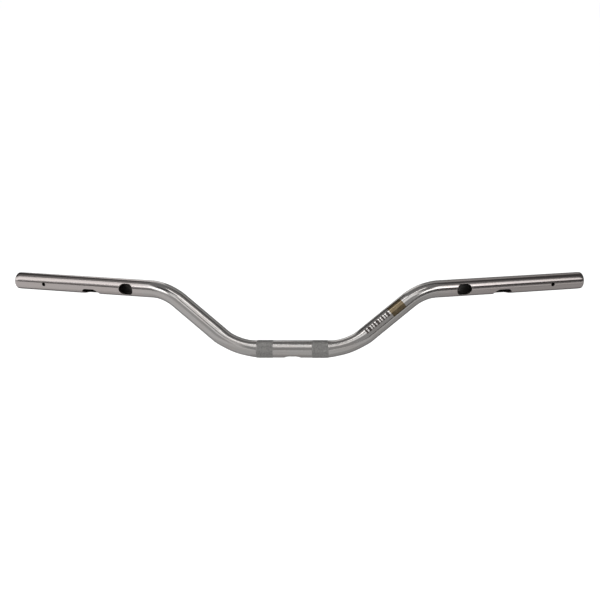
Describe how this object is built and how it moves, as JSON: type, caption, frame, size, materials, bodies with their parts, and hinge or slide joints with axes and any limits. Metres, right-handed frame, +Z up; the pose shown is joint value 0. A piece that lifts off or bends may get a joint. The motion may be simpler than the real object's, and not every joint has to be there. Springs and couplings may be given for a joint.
{
  "type": "motorcycle handlebar",
  "caption": "Low-rise bent tube handlebar with pulled-back grips, knurled clamp bands and drilled openings for internal wiring.",
  "frame": {"origin": "centre of the straight clamp section, on the tube's axis, midway between the riser clamps", "axes": "+X to the rider's right, +Y back to the rider over level ground, +Z up; the plane X = 0 is the plane of symmetry"},
  "size_m": [0.8764, 0.1859, 0.0992],
  "materials": {
    "tube_steel": "satin polished along the tube",
    "knurled_steel": "diamond knurl",
    "brown_print": "thin satin print",
    "dark_print": "thin satin print"
  },
  "bodies": {
    "root": {"bar_tube": "tube_steel", "left_clamp_knurl": "knurled_steel", "right_clamp_knurl": "knurled_steel", "printed_patch": "brown_print", "printed_stripes": "dark_print"}
  },
  "joints": []
}
